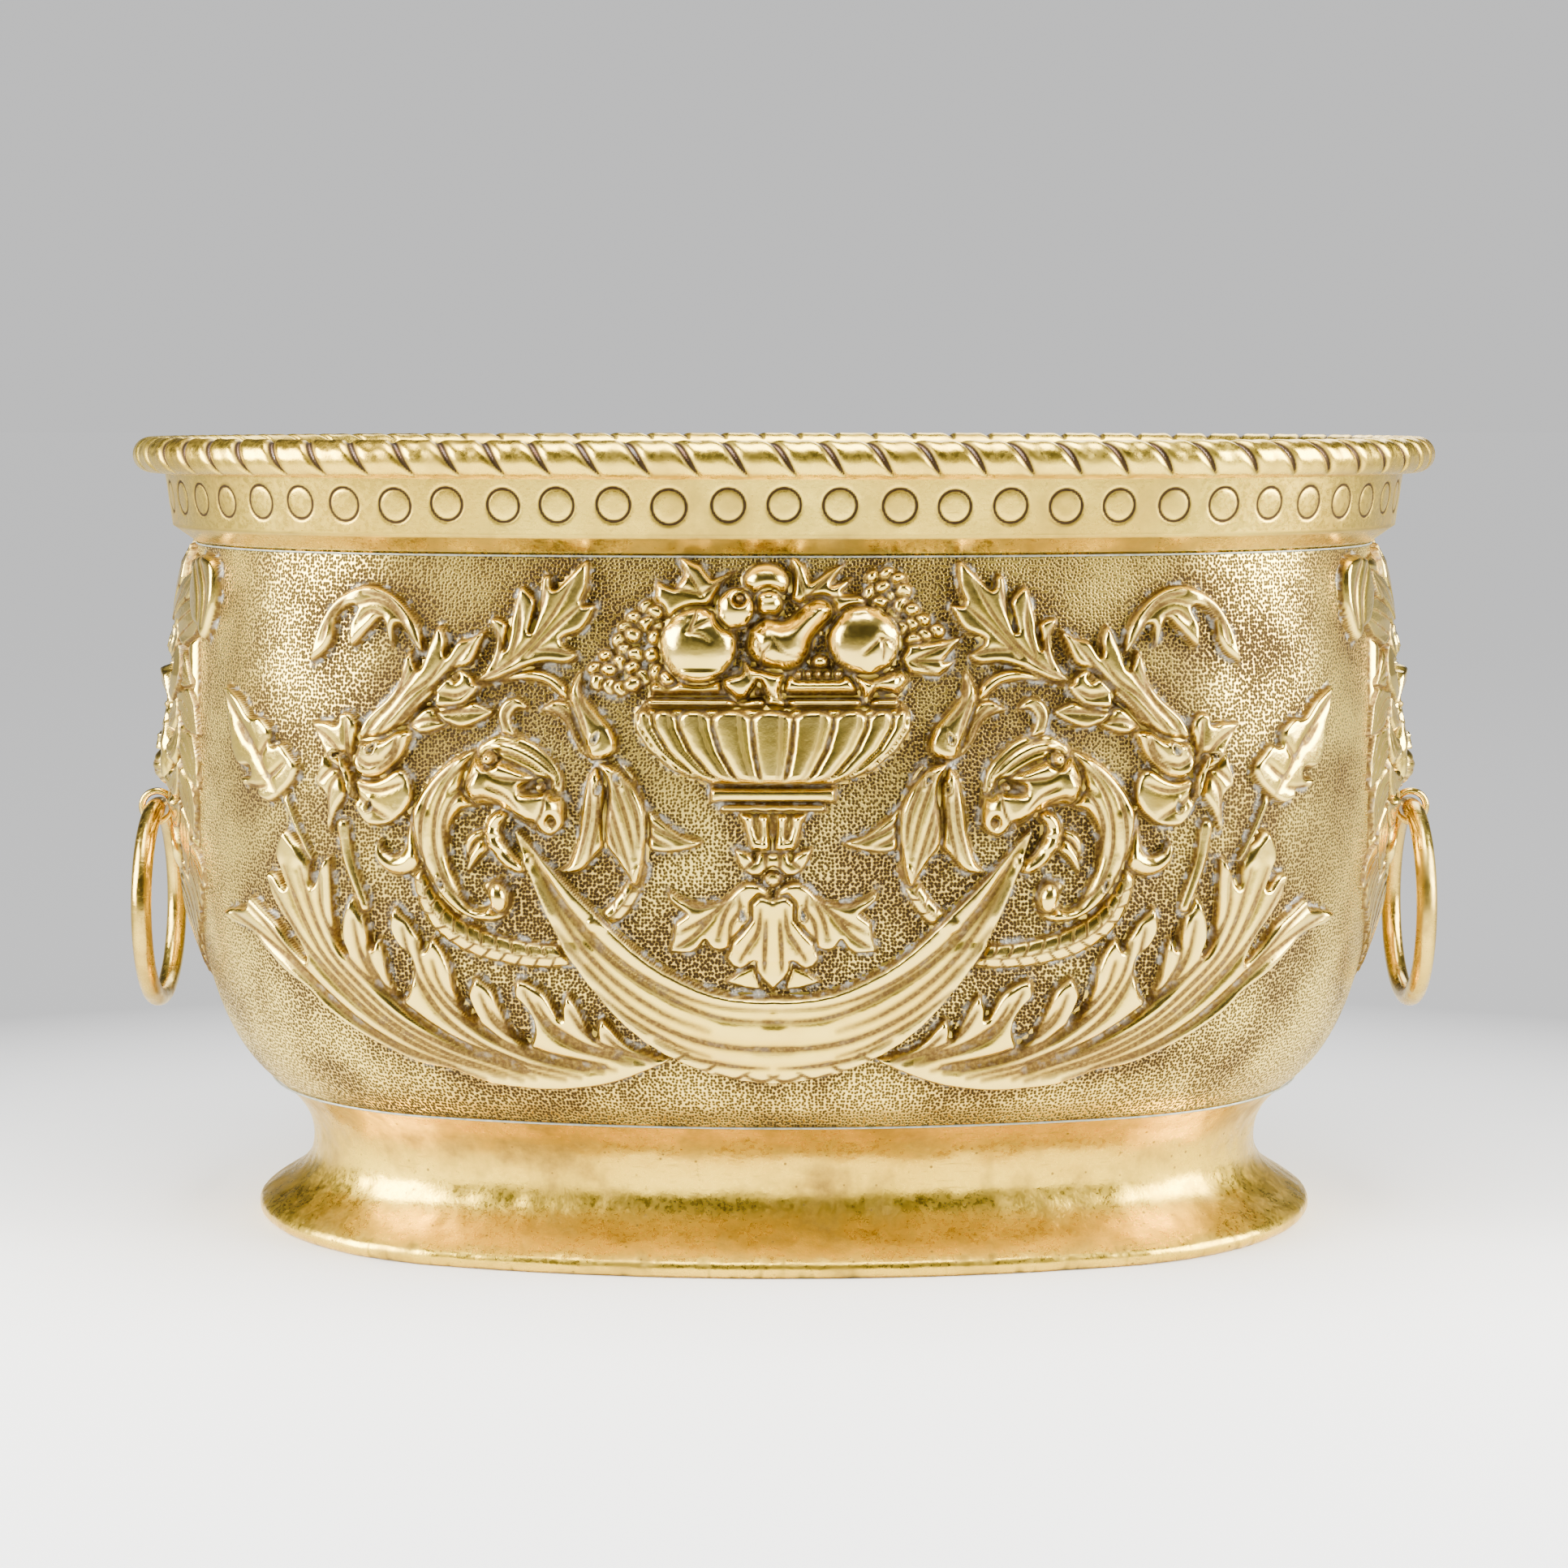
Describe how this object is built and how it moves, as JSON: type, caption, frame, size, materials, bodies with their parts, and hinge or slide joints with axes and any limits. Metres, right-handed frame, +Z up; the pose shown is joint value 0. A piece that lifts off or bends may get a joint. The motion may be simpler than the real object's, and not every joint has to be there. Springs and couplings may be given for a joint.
{
  "type": "planter pot",
  "caption": "Oval brass planter pot with a rounded embossed body, spreading foot, wired rope rim and a drop ring handle in a lion mask at each end.",
  "frame": {"origin": "centre of the oval, on the surface the foot stands on", "axes": "+X along the pot's length, +Y across it away from the decorated front, +Z up out of the mouth"},
  "size_m": [0.5304, 0.3488, 0.316],
  "materials": {
    "body_brass": "polished relief on a darkened stippled ground",
    "foot_brass": "hammered, golden, with tarnish",
    "ring_brass": "cast and worn smooth",
    "iron_wire": "dull",
    "solder": "dull grey soft solder"
  },
  "bodies": {
    "pot": {"body_wall": "body_brass", "body_floor": "body_brass", "collar_band": "body_brass", "rim_roll": "body_brass", "rim_wire": "iron_wire", "foot_ring": "foot_brass", "foot_wire": "iron_wire", "foot_solder": "solder", "collar_solder": "solder", "mask_left": "body_brass", "mask_right": "body_brass", "eye_left": "ring_brass", "eye_right": "ring_brass", "washer_left": "foot_brass", "washer_right": "foot_brass"},
    "ring_left": {"ring_left": "ring_brass"},
    "ring_right": {"ring_right": "ring_brass"}
  },
  "joints": [
    {"name": "ring_left_swing", "type": "hinge", "parent": "pot", "child": "ring_left", "pos_m": [-0.2575, 0, 0.16415], "axis": [0, 1, 0], "range_deg": [-14, 175]},
    {"name": "ring_right_swing", "type": "hinge", "parent": "pot", "child": "ring_right", "pos_m": [0.2575, 0, 0.16415], "axis": [0, -1, 0], "range_deg": [-14, 175]}
  ]
}
